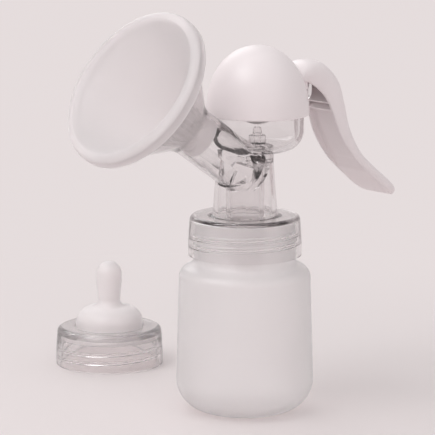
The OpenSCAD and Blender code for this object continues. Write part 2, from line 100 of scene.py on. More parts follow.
class PumpSizes(bpy.types.PropertyGroup):
    """Sizes of the pump's pieces."""

    bottle_d: length("Bottle", "Widest diameter of the bottle", 68)
    bottle_top_d: length("Bottle top", "Diameter where the side meets the shoulder", 65)
    bottle_foot_r: length("Bottle foot", "Radius of the rounded foot", 16)
    bottle_side_h: length("Bottle side", "Height at which the side turns into the shoulder", 67)
    bottle_wall: length("Bottle wall", "Wall thickness of the bottle", 1.8)
    push_up: length("Base push-up", "Depth of the recess under the bottle", 0.8)
    neck_d: length("Neck", "Outer diameter of the neck", 50)
    neck_z: length("Neck foot", "Height at which the straight neck starts", 77)
    rim_z: length("Neck rim", "Height of the bottle's rim", 96)
    thread_h: length("Thread", "Height of a screw thread above its wall", 0.45)
    thread_pitch: length("Thread pitch", "Rise of a screw thread in one turn", 4.4)
    collar_z: length("Collar foot", "Height of the collar's lower edge", 78.1)
    collar_h: length("Collar height", "Height of the collar", 20)
    collar_d: length("Collar", "Outer diameter of the collar", 56)
    body_wall: length("Body wall", "Wall thickness of the clear moulding", 2)
    stem_low_d: length("Stem foot", "Diameter of the stem at the collar", 32)
    stem_top_d: length("Stem top", "Diameter of the stem at the bowl", 28)
    drop_tube_d: length("Drop tube", "Diameter of the tube inside the stem", 19)
    drop_tube_reach: length("Drop tube reach", "Depth of the tube's end below the top of the collar", 12)
    bowl_z: length("Bowl floor", "Height of the bowl's underside", 129.1)
    bowl_x: length("Bowl shift", "Offset of the bowl's axis from the bottle's axis", 8)
    bowl_d: length("Bowl", "Outer diameter of the bowl", 45.6)
    bowl_corner_r: length("Bowl corner", "Radius of the bowl's lower edge", 10)
    bowl_wall: length("Bowl wall", "Wall thickness of the bowl", 2.6)
    rim_h: length("Bowl rim", "Height of the bowl's rim above the dome's edge", 8)
    rim_step: length("Rim step", "How far the bowl's rim steps in for the diaphragm's skirt", 1.2)
    port_bore_r: length("Air port bore", "Radius of the air port's bore", 1.3)
    funnel_tilt: angle("Funnel tilt", "Rise of the funnel above the horizontal", 34)
    funnel_z: length("Funnel root", "Height of the funnel's axis on the stem's axis", 119.6)
    tunnel_d: length("Tunnel", "Outer diameter of the tunnel", 25)
    tunnel_l: length("Tunnel length", "Length of the tunnel from the stem's axis to the horn", 46)
    horn_l: length("Horn length", "Length of the horn from the tunnel to its rim", 38)
    mouth_d: length("Horn mouth", "Outer diameter of the horn's rim", 78)
    rim_bead: length("Horn bead", "Depth of the bead round the horn's rim", 3)
    cushion_wall: length("Cushion wall", "Wall thickness of the silicone cushion", 1.6)
    cushion_sleeve: length("Cushion sleeve", "How far the cushion's sleeve reaches into the tunnel", 10)
    valve_wall: length("Valve wall", "Wall thickness of the valve", 1.2)
    duckbill_l: length("Duckbill", "Length of the valve's bill", 17)
    diaphragm_t: length("Diaphragm", "Thickness of the diaphragm", 0.9)
    bulge_r: length("Bulge", "Radius of the diaphragm's bulge at the dome's edge", 9.2)
    bulge_drop: length("Bulge drop", "How far the bulge hangs below the dome's edge", 4.8)
    plunger_r: length("Plunger", "Radius of the plunger's stem", 3.4)
    flange_r: length("Plunger flanges", "Radius of the plunger's two flanges", 6.5)
    dome_z: length("Dome edge", "Height of the dome's lower edge", 147.1)
    dome_d: length("Dome", "Diameter of the dome", 51.2)
    dome_h: length("Dome height", "Height of the dome", 34)
    dome_wall: length("Dome wall", "Wall thickness of the dome", 1.8)
    bracket_w: length("Bracket", "Width of the clear bracket under the pivot", 8)
    pivot_x: length("Pivot", "Distance of the lever's pivot from the bowl's axis", 30.2)
    pivot_z: length("Pivot height", "Height of the lever's pivot", 164.296)
    pivot_r: length("Trunnions", "Radius of the pivot's trunnions", 2.5)
    arch_w: length("Arch width", "Width of the lever over the arch", 19)
    grip_w: length("Grip width", "Width of the lever at the end of the grip", 26)
    lever_wall: length("Lever wall", "Wall thickness of the lever", 2.2)
    peg_z: length("Peg height", "Height of the fork's pegs", 160.05)
    peg_r: length("Pegs", "Radius of the fork's pegs", 2.2)
    ring_d: length("Screw ring", "Outer diameter of the teat's ring", 57)
    ring_h: length("Screw ring height", "Height of the teat's ring", 20)
    ring_wall: length("Screw ring wall", "Wall thickness of the teat's ring", 2.5)
    ring_top: length("Screw ring top", "Thickness of the ring's top", 3.4)
    teat_d: length("Teat", "Diameter of the teat where it leaves the ring", 35.4)
    teat_wall: length("Teat wall", "Wall thickness of the teat", 1.8)
    nipple_d: length("Nipple", "Diameter of the nipple", 13.5)
    teat_h: length("Teat height", "Height of the teat above the ring", 35)


class PumpColours(bpy.types.PropertyGroup):
    """Colours of the pump's materials and of its backdrop."""

    white: colour("White plastic", "Dome, lever and plunger", (0.89, 0.815, 0.825))
    clear: colour("Clear plastic", "Pump body", (0.985, 0.978, 0.979))
    # Painted shade: the pump body's walls are drawn darker, towards this colour, where they turn edge-on to
    # the eye
    clear_painted_edge_shade: colour("Clear plastic's edge", "Glancing light in the pump body", (0.45, 0.43, 0.435))
    bottle: colour("Bottle plastic", "Bottle", (0.975, 0.956, 0.958))
    ring: colour("Ring plastic", "Teat's screw ring", (0.97, 0.958, 0.96))
    # Painted shade: the screw ring's walls are drawn darker, towards this colour, where they turn edge-on to
    # the eye
    ring_painted_edge_shade: colour("Ring plastic's edge", "Glancing light in the screw ring", (0.12, 0.11, 0.112))
    silicone: colour("Silicone", "Diaphragm, valve and teat", (0.955, 0.918, 0.92))
    # Painted shade: a greyer copy of the teat's silicone, standing in for the shade inside the funnel
    cushion: colour("Cushion silicone", "Massage cushion", (0.91, 0.87, 0.874))
    paper: colour("Backdrop", "Floor and backdrop", (0.785, 0.72, 0.72))
    overhead: colour("Backdrop overhead", "Backdrop towards the zenith", (0.36, 0.33, 0.335))


def mm(name):
    """The named size from the sidebar, in millimetres."""
    return getattr(bpy.context.scene.pump_sizes, name) / MM


def tint(name):
    """The named colour from the sidebar, with full alpha."""
    return (*getattr(bpy.context.scene.pump_colours, name), 1.0)


# Surfaces


def arc(x, z, radius, start, end, steps=20):
    """Points (x + radius cos t, z + radius sin t), t running from start to end in degrees."""
    t = np.radians(np.linspace(start, end, steps + 1))
    return np.column_stack([x + radius * np.cos(t), z + radius * np.sin(t)])


def rounded(points, radius, closed=False, steps=5):
    """Polyline with soft corners.

    Each corner P becomes (1-t)^2 A + 2 t (1-t) P + t^2 B, where A and B lie on the two edges at the corner,
    radius away from P or at most just under half an edge. Works on the last two axes of an array, with one
    radius for all corners or a list of one for each.
    """
    p = np.asarray(points, float)
    back = np.roll(p, 1, axis=-2) - p
    ahead = np.roll(p, -1, axis=-2) - p
    back_l = np.linalg.norm(back, axis=-1)
    ahead_l = np.linalg.norm(ahead, axis=-1)
    cut = np.minimum(np.minimum(back_l, ahead_l) * 0.48, radius)
    if not closed:
        cut[..., 0] = 0
        cut[..., -1] = 0
    a = p + back * (cut / np.maximum(back_l, 1e-9))[..., None]
    b = p + ahead * (cut / np.maximum(ahead_l, 1e-9))[..., None]
    t = np.linspace(0, 1, steps + 1)[:, None]
    soft = (1 - t) ** 2 * a[..., None, :] + 2 * t * (1 - t) * p[..., None, :] + t * t * b[..., None, :]
    return soft.reshape(*p.shape[:-2], -1, 2)


def distinct(profile):
    """The profile without points that repeat the one before."""
    step = np.linalg.norm(np.diff(profile, axis=0), axis=1)
    return profile[np.concatenate([[True], step > SAME])]


def grid_quads(rows, columns, close_rows):
    """Quads of a grid of vertices that closes round its columns and, if asked, its rows."""
    i, j = np.meshgrid(np.arange(rows if close_rows else rows - 1), np.arange(columns), indexing="ij")
    up = (i + 1) % rows
    on = (j + 1) % columns
    corners = [i * columns + j, i * columns + on, up * columns + on, up * columns + j]
    return np.stack(corners, axis=-1).reshape(-1, 4)


def lathe(profile, segments=128):
    """Surface of revolution: the point (r, z) becomes (r cos a, r sin a, z).

    A profile from axis to axis gets a pole at each end, and any other profile closes on itself.
    """
    p = distinct(np.asarray(profile, float))
    poles = p[0, 0] < SAME and p[-1, 0] < SAME
    if not poles and np.linalg.norm(p[0] - p[-1]) < SAME:
        p = p[:-1]
    ring = p[1:-1] if poles else p
    r, z = ring.T
    a = np.linspace(0, 2 * math.pi, segments, endpoint=False)
    points = np.stack([np.outer(r, np.cos(a)), np.outer(r, np.sin(a)), np.outer(z, np.ones(segments))], -1)
    points = points.reshape(-1, 3)
    faces = [grid_quads(len(ring), segments, not poles)]
    if poles:
        j = np.arange(segments)
        on = (j + 1) % segments
        low = len(points)
        last = (len(ring) - 1) * segments
        faces.append(np.column_stack([np.full(segments, low), on, j]))
        faces.append(np.column_stack([np.full(segments, low + 1), last + j, last + on]))
        points = np.vstack([points, [[0, 0, p[0, 1]], [0, 0, p[-1, 1]]]])
    return points, faces


def rod(radius, low, high, segments):
    """Cylinder on the Z axis, from low to high."""
    return lathe([[0, low], [radius, low], [radius, high], [0, high]], segments)


def tube(sections):
    """Closed skin through an array of equal sections, rows by points by xyz, with a flat face on each end."""
    rows, columns = sections.shape[:2]
    first = np.arange(columns)[None, ::-1]
    last = (rows - 1) * columns + np.arange(columns)[None]
    return sections.reshape(-1, 3), [grid_quads(rows, columns, False), first, last]


def plate(outline, y_from, y_to):
    """An outline of (x, z) points carried straight across from y_from to y_to."""
    x, z = np.asarray(outline, float).T
    return tube(np.stack([np.column_stack([x, np.full_like(x, y), z]) for y in (y_from, y_to)]))


def slab(outline, x_from, x_to):
    """An outline of (y, z) points carried straight along X."""
    y, z = np.asarray(outline, float).T
    return tube(np.stack([np.column_stack([np.full_like(y, x), y, z]) for x in (x_from, x_to)]))


def helix_ridge(wall_r, rise, height, low, pitch, turns, width, sunk=0.3):
    """Screw thread: a low rounded ridge along (R cos a, R sin a, low + pitch a / 2 pi).

    It stands out from wall_r by height, inwards if rise is -1, and fades out over a sixth of a turn at both
    ends. Its foot is sunk into the wall.
    """
    a = np.linspace(0, 2 * math.pi * turns, int(turns * 96))
    run = np.clip(np.minimum(a, a[-1] - a) / (math.pi / 3), 0, 1)
    fade = 0.04 + 0.96 * run * run * (3 - 2 * run)
    section = rounded([[-sunk, -width / 2], [0, -width / 2], [height, -width / 5], [height, width / 5],
                       [0, width / 2], [-sunk, width / 2]], 0.25, closed=True, steps=3)
    out = section[:, 0]
    r = wall_r + rise * np.where(out > 0, out * fade[:, None], out)
    z = low + pitch * a[:, None] / (2 * math.pi) + section[:, 1] * np.sqrt(fade)[:, None]
    return tube(np.stack([r * np.cos(a)[:, None], r * np.sin(a)[:, None], z], -1))


def moved(surface, x=0.0, y=0.0, z=0.0):
    """The surface shifted by x, y and z."""
    points, faces = surface
    return points + np.array([x, y, z]), faces


def crosswise(surface):
    """The surface with its Z axis laid along Y."""
    points, faces = surface
    return points[:, [1, 2, 0]], faces


def lengthwise(surface):
    """The surface with its Z axis laid along X."""
    points, faces = surface
    return points[:, [2, 1, 0]], faces


def on_bowl_axis(surface):
    """The surface moved from the origin's axis to the bowl's axis."""
    return moved(surface, x=mm("bowl_x"))


def along_funnel(surface):
    """The surface with its Z axis laid along the funnel, which rises towards -X from the stem's axis.

    At a tilt of t the point (x, y, z) becomes (x sin t - z cos t, y, x cos t + z sin t), and is then raised.
    """
    points, faces = surface
    x, y, z = points.T
    tilt = bpy.context.scene.pump_sizes.funnel_tilt
    c, s = math.cos(tilt), math.sin(tilt)
    return moved((np.column_stack([x * s - z * c, y, x * c + z * s]), faces), z=mm("funnel_z"))


# Pieces


def outward(points, faces):
    """The faces turned to point outwards, by the sign of the enclosed volume: the sum of v0 . (v1 x v2)."""
    fans = [(f[:, 0], f[:, k], f[:, k + 1]) for f in faces for k in range(1, f.shape[1] - 1)]
    volume = sum(np.sum(points[a] * np.cross(points[b], points[c])) for a, b, c in fans)
    return faces if volume > 0 else [f[:, ::-1] for f in faces]


def solid(name, surface):
    """A mesh object from a surface in millimetres."""
    points, faces = surface
    faces = outward(points, faces)
    mesh = bpy.data.meshes.new(name)
    mesh.from_pydata((points * MM).tolist(), [], [f for group in faces for f in group.tolist()])
    piece = bpy.data.objects.new(name, mesh)
    bpy.context.scene.collection.objects.link(piece)
    return piece


def settle(piece):
    """Makes the piece's modifiers part of its mesh."""
    depsgraph = bpy.context.evaluated_depsgraph_get()
    mesh = bpy.data.meshes.new_from_object(piece.evaluated_get(depsgraph))
    old = piece.data
    piece.modifiers.clear()
    piece.data = mesh
    bpy.data.meshes.remove(old)
    mesh.name = piece.name


def combine(piece, surface, operation):
    """Joins the surface's solid, or a finished object, to the piece, or cuts it out."""
    tool = surface if isinstance(surface, bpy.types.Object) else solid("tool", surface)
    step = piece.modifiers.new("combine", "BOOLEAN")
    step.object = tool
    step.operation = operation
    step.solver = "MANIFOLD"
    settle(piece)
    if not piece.data.polygons:
        raise RuntimeError(f"{piece.name} lost its faces")
    data = tool.data
    bpy.data.objects.remove(tool)
    bpy.data.meshes.remove(data)


def join(piece, surface):
    """Adds the surface's solid to the piece."""
    combine(piece, surface, "UNION")


def cut(piece, surface):
    """Takes the surface's solid out of the piece."""
    combine(piece, surface, "DIFFERENCE")


def clean(mesh, reach=5e-6):
    """Merges points within reach, in metres, splits many-sided faces and drops those without area."""
    edit = bmesh.new()
    edit.from_mesh(mesh)
    bmesh.ops.remove_doubles(edit, verts=edit.verts, dist=reach)
    bmesh.ops.triangulate(edit, faces=[face for face in edit.faces if len(face.verts) > 4])
    bmesh.ops.dissolve_degenerate(edit, edges=edit.edges, dist=reach)
    edit.to_mesh(mesh)
    edit.free()


def dress(piece, material, body=None, smooth=35):
    """Cleans the piece, shades it smooth up to an angle, and gives it its material, slot and body."""
    mesh = piece.data
    clean(mesh)
    mesh.polygons.foreach_set("use_smooth", np.ones(len(mesh.polygons), bool))
    mesh.set_sharp_from_angle(angle=math.radians(smooth))
    mesh.materials.clear()
    mesh.materials.append(material)
    if body:
        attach(piece, body)
    return piece


# Materials

# Noise scales per metre: patches of slightly different colour and gloss, and the mould's grain
DRIFT_SCALE = 55.0
GRAIN_SCALE = 1600.0
# Shares of red, green and blue that don't fade on their way through plastic
UNFADED = (0.04, 0.0, 0.01, 1.0)


class Wire:
    """A node socket that takes part in Python expressions; each operator adds a Math node."""

    def __init__(self, tree, socket=None):
        self.tree = tree
        self.socket = socket

    def add(self, kind, settings, sockets, output=0):
        """Adds a node of that type, applies its settings and sets or links its sockets; gives one output."""
        node = self.tree.nodes.new(kind)
        for name, value in settings.items():
            setattr(node, name, value)
        for name, value in sockets.items():
            if isinstance(value, Wire):
                self.tree.links.new(value.socket, node.inputs[name])
            else:
                node.inputs[name].default_value = value
        return Wire(self.tree, node.outputs[output] if node.outputs else None)

    def math(self, operation, first, second):
        """One Math node on two values or wires."""
        return self.add("ShaderNodeMath", {"operation": operation}, {0: first, 1: second})

    def blend(self, share, first, second):
        """Colour that goes from the first to the second as the share goes from 0 to 1."""
        return self.add("ShaderNodeMix", {"data_type": "RGBA"}, {"Factor": share, 6: first, 7: second}, 2)

    def __add__(self, other):
        return self.math("ADD", self, other)

    def __radd__(self, other):
        return self.math("ADD", other, self)

    def __mul__(self, other):
        return self.math("MULTIPLY", self, other)

    def __rmul__(self, other):
        return self.math("MULTIPLY", other, self)


def new_material(name):
    """An empty node material and the wire that its nodes hang on."""
    material = bpy.data.materials.new(name)
    material.use_nodes = True
    material.node_tree.nodes.clear()
    return material, Wire(material.node_tree)


def moulded(name, shade, deepen, roughness, grain, fixed, dimming=0.0, edge=None, lets=0.0):
    """Moulded plastic or silicone.

    Over about a centimetre the colour drifts to one darker by the share deepen, and the roughness drifts with
    it, from 0.85 to 1.15 of its value. A fine grain from the mould, its height in metres, goes into the bump.
    fixed holds the shader's constant sockets. Where light passes, dimming is how fast it fades on its way
    through, per metre, edge is a painted shade: the colour that the surface is drawn towards at a glancing
    angle, coming in with the fourth power of the turn away from the eye, and lets is the share of a lamp's
    light that reaches what stands behind.
    """
    material = bpy.data.materials.get(name)
    if material:
        return material
    material, wire = new_material(name)
    deep = (*(channel * (1 - deepen) for channel in shade[:3]), 1.0)
    place = wire.add("ShaderNodeTexCoord", {}, {}, "Object")
    drift = wire.add("ShaderNodeTexNoise", {},
                     {"Vector": place, "Scale": DRIFT_SCALE, "Detail": 2.0, "Roughness": 0.5}, "Fac")
    fine = wire.add("ShaderNodeTexNoise", {}, {"Vector": place, "Scale": GRAIN_SCALE, "Detail": 1.0}, "Fac")
    paint = wire.blend(drift, shade, deep)
    # Painted shade: the colour goes towards edge where the surface turns edge-on to the eye, standing in for
    # the dark edges that clear walls show
    if edge:
        painted_edge_shade_share = wire.add("ShaderNodeLayerWeight", {}, {"Blend": 0.5}, "Facing")
        paint = wire.blend(wire.math("POWER", painted_edge_shade_share, 4.0), paint, edge)
    gloss = roughness * (0.85 + drift * 0.3)
    relief = fine + drift * 6.0
    bump = wire.add("ShaderNodeBump", {}, {"Strength": 1.0, "Distance": grain, "Height": relief}, "Normal")
    skin = wire.add("ShaderNodeBsdfPrincipled", {},
                    {"Base Color": paint, "Roughness": gloss, "Normal": bump, **fixed}, "BSDF")
    if lets:
        shadow = wire.add("ShaderNodeLightPath", {}, {}, "Is Shadow Ray")
        sheer = wire.add("ShaderNodeBsdfTransparent", {}, {"Color": (lets, lets, lets, 1.0)})
        skin = wire.add("ShaderNodeMixShader", {}, {0: shadow, 1: skin, 2: sheer})
    ends = {"Surface": skin}
    if dimming:
        ends["Volume"] = wire.add("ShaderNodeVolumeAbsorption", {}, {"Color": UNFADED, "Density": dimming})
    wire.add("ShaderNodeOutputMaterial", {}, ends)
    return material


def white_plastic():
    """Opaque satin plastic of the dome, lever and plunger."""
    return moulded("satin_white", tint("white"), deepen=0.05, roughness=0.34, grain=8e-7, fixed={"IOR": 1.49})


def clear_plastic():
    """Clear hard plastic of the pump body, with painted shade where its walls turn edge-on to the eye."""
    return moulded("clear_body", tint("clear"), deepen=0.02, roughness=0.02, grain=5e-7,
                   fixed={"IOR": 1.43, "Transmission Weight": 1.0}, dimming=16.0, edge=tint("clear_painted_edge_shade"),
                   lets=1.0)


def bottle_plastic():
    """Milky translucent plastic of the bottle."""
    return moulded("milky_bottle", tint("bottle"), deepen=0.03, roughness=0.34, grain=8e-7,
                   fixed={"IOR": 1.47, "Transmission Weight": 0.8}, dimming=2.0, lets=0.88)


def ring_plastic():
    """Clear, slightly hazy plastic of the screw ring, with painted shade where its walls turn edge-on to the
    eye.
    """
    return moulded("clear_ring", tint("ring"), deepen=0.03, roughness=0.06, grain=5e-7,
                   fixed={"IOR": 1.47, "Transmission Weight": 0.95}, dimming=18.0, edge=tint("ring_painted_edge_shade"),
                   lets=0.92)


def silicone():
    """Frosted translucent silicone of the teat, diaphragm and valve."""
    return moulded("frosted_silicone", tint("silicone"), deepen=0.04, roughness=0.38, grain=2e-6,
                   fixed={"IOR": 1.41, "Transmission Weight": 0.55}, dimming=2.0, lets=0.88)


def shaded_cushion_silicone():
    """The teat's silicone made a little greyer for the cushion: a shaded copy, standing in for the shade
    inside the funnel.
    """
    return moulded("shaded_cushion_silicone", tint("cushion"), deepen=0.04, roughness=0.38, grain=2e-6,
                   fixed={"IOR": 1.41, "Transmission Weight": 0.55}, dimming=3.0, lets=0.82)


# Operators


class PUMP_OT_bottle(bpy.types.Operator):
    """Bottle with a push-up base, rounded foot, sloped shoulder and threaded neck"""

    bl_idname = "pump.bottle"
    bl_label = "Bottle"

    # Shoulder: its radius, its turn in degrees, and the radius of the fillet up to the neck
    shoulder_r = 6.0
    shoulder_turn = 62.0
    fillet_r = 4.0
    # Base: radii of the flat recess, of the bend in its edge and of the ring that the bottle stands on, and
    # the share of the recess's depth that is left at the bend
    base_r = (8.0, 13.0, 15.5)
    bend_share = 0.6
    # Rim: height and softness of the lip, and depth of the thread's start below the rim
    lip_h = 2.0
    lip_soft = 0.8
    thread_drop = 13.5

    def side(self, wall):
        """Foot, side, shoulder and neck as one (r, z) curve, moved in by the wall thickness."""
        foot = mm("bottle_foot_r")
        shoulder = mm("bottle_top_d") / 2 - self.shoulder_r
        neck_r = mm("neck_d") / 2
        turn = self.shoulder_turn
        return np.vstack([
            arc(mm("bottle_d") / 2 - foot, foot, foot - wall, -90, 0, 24),
            arc(shoulder, mm("bottle_side_h"), self.shoulder_r - wall, 0, turn, 14),
            arc(neck_r + self.fillet_r, mm("neck_z"), self.fillet_r + wall, 180 + turn, 180, 12)])

    def base(self):
        """Underside from the axis to the ring that the bottle stands on: a flat recess with a sloped edge."""
        rise = mm("push_up")
        flat, bend, stand = self.base_r
        return np.array([[0, rise], [flat, rise], [bend, rise * self.bend_share], [stand, 0]])

    def execute(self, context):
        wall = mm("bottle_wall")
        outer = mm("neck_d") / 2
        inner = outer - wall
        rim = mm("rim_z")
        low = rim - self.lip_h
        lip = rounded([[outer, low], [outer, rim], [inner, rim], [inner, low]], self.lip_soft)
        base = self.base()
        profile = np.vstack([base, self.side(0), lip, self.side(wall)[::-1], base[::-1] + [0, wall]])
        shell = solid("bottle_shell", lathe(profile, 160))
        join(shell, helix_ridge(outer, 1, mm("thread_h"), rim - self.thread_drop, mm("thread_pitch"),
                                turns=2.2, width=2.2))
        dress(shell, bottle_plastic(), "bottle")
        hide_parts("bottle")
        return {"FINISHED"}


class PUMP_OT_body(bpy.types.Operator):
    """Clear moulding of collar, stem, drop tube, tunnel, horn, bowl, air port and lever bracket"""

    bl_idname = "pump.body"
    bl_label = "Pump body"

    # Collar: height of its straight foot, and how much narrower it is at the top, on the radius
    collar_foot = 6.7
    collar_draft = 0.9
    # Height of the stem's straight crown under the bowl
    crown_h = 4.0
    # Funnel: bend between tunnel and horn, and on its axis the tunnel's start and the length of it that the
    # stem's room leaves standing
    throat_r = 7.0
    tunnel_start = -2.0
    tunnel_spared = 40.0
    # Bead under the dome: how far it stands out, and its two edges above the dome's edge
    bead = (0.9, 0.4, 2.2)
    # Air port: radii of its foot, of the step and of the tip, and the heights of step and tip
    port_r = (4.2, 2.5, 1.8)
    port_h = (7.4, 11.3)
    # Bracket: lower and upper end of the strut's root below the dome's edge, height of its knee above that
    # edge, softness of its edges, and radius of the cross bar that carries the trunnions
    root_h = (6.0, 1.5)
    knee_h = 4.3
    bracket_soft = 0.6
    bar_r = 3.0
    # Ducts: rise of the cross duct above the funnel's axis, and top of the upright duct above the bowl's
    # underside; then the drop tube's bore, from its start above the collar's foot to its end below the cross
    # duct
    duct_rise = 4.0
    duct_top = 14.0
    bore_start = 2.0
    bore_end = 2.0
    # Start of the thread above the collar's foot
    thread_rise = 3.2

    def collar_and_stem(self):
        """Drafted collar with a rounded shoulder, and the tapered stem above it."""
        r = mm("collar_d") / 2
        low = mm("collar_z")
        top = low + mm("collar_h")
        stem = mm("stem_low_d") / 2
        crown = mm("stem_top_d") / 2
        roof = mm("bowl_z")
        return lathe(rounded(
            [[0, low], [r, low], [r, low + self.collar_foot], [r - self.collar_draft, top], [stem, top],
             [crown, roof - self.crown_h], [crown, roof + BOND], [0, roof + BOND]],
            [0, 0.5, 2, 2.4, 3, 2, 0, 0]), 128)

    def funnel(self):
        """Tunnel and horn outside, with the bead round the rim."""
        r = mm("tunnel_d") / 2
        mouth = mm("mouth_d") / 2
        start = mm("tunnel_l")
        rim = start + mm("horn_l")
        bead = mm("rim_bead")
        slope = (mouth - r) / (rim - start)
        return along_funnel(lathe(rounded(
            [[0, self.tunnel_start], [r, self.tunnel_start], [r, start], [mouth - bead * slope, rim - bead],
             [mouth, rim - bead], [mouth, rim], [0, rim]],
            [0, 0, self.throat_r, 0.3, 0.6, 0.6, 0]), 128))

    def funnel_room(self):
        """Inside of the tunnel and the horn."""
        wall = mm("body_wall")
        r = mm("tunnel_d") / 2 - wall
        start = mm("tunnel_l")
        rim = start + mm("horn_l")
        slope = math.atan2(mm("mouth_d") / 2 - r - wall, rim - start)
        mouth = mm("mouth_d") / 2 - wall / math.cos(slope)
        return along_funnel(lathe(rounded(
            [[0, 0], [r, 0], [r, start], [mouth, rim], [mouth, rim + PAST], [0, rim + PAST]],
            [0, 0, self.throat_r, 0, 0, 0]), 128))

    def bowl(self):
        """Bowl with a rounded lower edge, the bead under the dome and the stepped rim for the diaphragm."""
        r = mm("bowl_d") / 2
        wall = mm("bowl_wall")
        corner = mm("bowl_corner_r")
        floor = mm("bowl_z")
        edge = mm("dome_z")
        stands_out, low, high = self.bead
        bead = r + stands_out
        step = r - mm("rim_step")
        top = edge + mm("rim_h")
        outer = arc(r - corner, floor + corner, corner, -90, 0, 28)
        rim = rounded(
            [[r, edge - 1], [r, edge + low], [bead, edge + low], [bead, edge + high], [step, edge + high],
             [step, top], [r - wall, top], [r - wall, edge - 1]],
            [0, 0.3, 0.3, 0.3, 0.3, 0.4, 0.4, 0])
        inner = arc(r - corner, floor + corner, corner - wall, 0, -90, 28)
        return on_bowl_axis(lathe(np.vstack([[[0, floor]], outer, rim, inner, [[0, floor + wall]]]), 128))

    def air_port(self):
        """Stepped chimney on the bowl's floor."""
        floor = mm("bowl_z") + BOND
        foot, step, tip = self.port_r
        step_z, tip_z = (floor + h for h in self.port_h)
        return on_bowl_axis(lathe(rounded(
            [[0, floor], [foot, floor], [foot, step_z], [step, step_z], [tip, tip_z], [0, tip_z]],
            [0, 0, 0.6, 0.5, 0.3, 0]), 64))

    def bracket(self):
        """Strut from the bowl to the post under the pivot, with softened edges."""
        x = mm("pivot_x")
        z = mm("pivot_z")
        r = mm("pivot_r")
        edge = mm("dome_z")
        root = mm("bowl_d") / 2 - mm("bowl_wall") / 2
        knee = edge + self.knee_h
        half = mm("bracket_w") / 2
        low, high = (edge - h for h in self.root_h)
        outline = rounded(
            [[root, low], [root + 0.8, low + 1], [x - 0.5, knee], [x + r, knee + r], [x + r, z],
             [x - r, z], [x - r, knee + r], [x - r - 2, knee], [root, high]],
            [0, 0, 3, 2, 0.2, 0.2, 1.2, 1.2, 0], closed=True)
        post = solid("post", on_bowl_axis(plate(distinct(outline), -half, half)))
        soften = post.modifiers.new("soften", "BEVEL")
        soften.width = self.bracket_soft * MM
        soften.segments = 3
        soften.limit_method = "ANGLE"
        soften.angle_limit = math.radians(60)
        settle(post)
        return post

    def trunnions(self):
        """Cross bar on the post, stepped down to the two pins that the lever turns on."""
        r = mm("pivot_r")
        bar = mm("arch_w") / 2 - mm("lever_wall") - MOVE_GAP
        pin = mm("arch_w") / 2 - PUMP_OT_handle.pocket_skin - MOVE_GAP
        profile = rounded([[0, -pin], [r, -pin], [r, -bar], [self.bar_r, -bar],
                           [self.bar_r, bar], [r, bar], [r, pin], [0, pin]],
                          [0, 0.5, 0, 0.2, 0.2, 0, 0.5, 0])
        return on_bowl_axis(moved(crosswise(lathe(profile, 48)), x=mm("pivot_x"), z=mm("pivot_z")))

    def neck_room(self):
        """Room for the bottle's neck, and the ring of room between the stem and its drop tube."""
        wall = mm("body_wall")
        low = mm("collar_z") - PAST
        top = mm("collar_z") + mm("collar_h")
        ceiling = top - wall
        bore = mm("collar_d") / 2 - wall
        tube_r = mm("drop_tube_d") / 2
        nozzle = top - mm("drop_tube_reach")
        roof = mm("bowl_z") - self.crown_h
        room = solid("room", lathe(rounded(
            [[0, low], [bore, low], [bore, ceiling], [mm("stem_low_d") / 2 - wall, ceiling],
             [mm("stem_top_d") / 2 - wall, roof], [tube_r, roof], [tube_r, nozzle], [0, nozzle]],
            [0, 0, 0.8, 1.5, 1.0, 1.0, 0.4, 0]), 128))
        cut(room, along_funnel(rod(mm("tunnel_d") / 2, self.tunnel_start - BOND, self.tunnel_spared, 128)))
        return room

    def execute(self, context):
        wall = mm("body_wall")
        low = mm("collar_z")
        duct = mm("funnel_z") + self.duct_rise
        shell = solid("pump_shell", self.collar_and_stem())
        for part in (self.funnel, self.bowl, self.air_port, self.bracket, self.trunnions):
            join(shell, part())
        cut(shell, self.neck_room())
        cut(shell, self.funnel_room())
        cut(shell, rod(mm("drop_tube_d") / 2 - wall, low + self.bore_start, duct - self.bore_end, 96))
        cut(shell, on_bowl_axis(rod(mm("port_bore_r"), duct, mm("bowl_z") + self.duct_top, 32)))
        cut(shell, moved(lengthwise(rod(mm("port_bore_r"), 0, mm("bowl_x"), 32)), z=duct))
        join(shell, helix_ridge(mm("collar_d") / 2 - wall, -1, mm("thread_h"), low + self.thread_rise,
                                mm("thread_pitch"), turns=2.2, width=1.8))
        dress(shell, clear_plastic(), "head")
        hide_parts("pump_body")
        return {"FINISHED"}


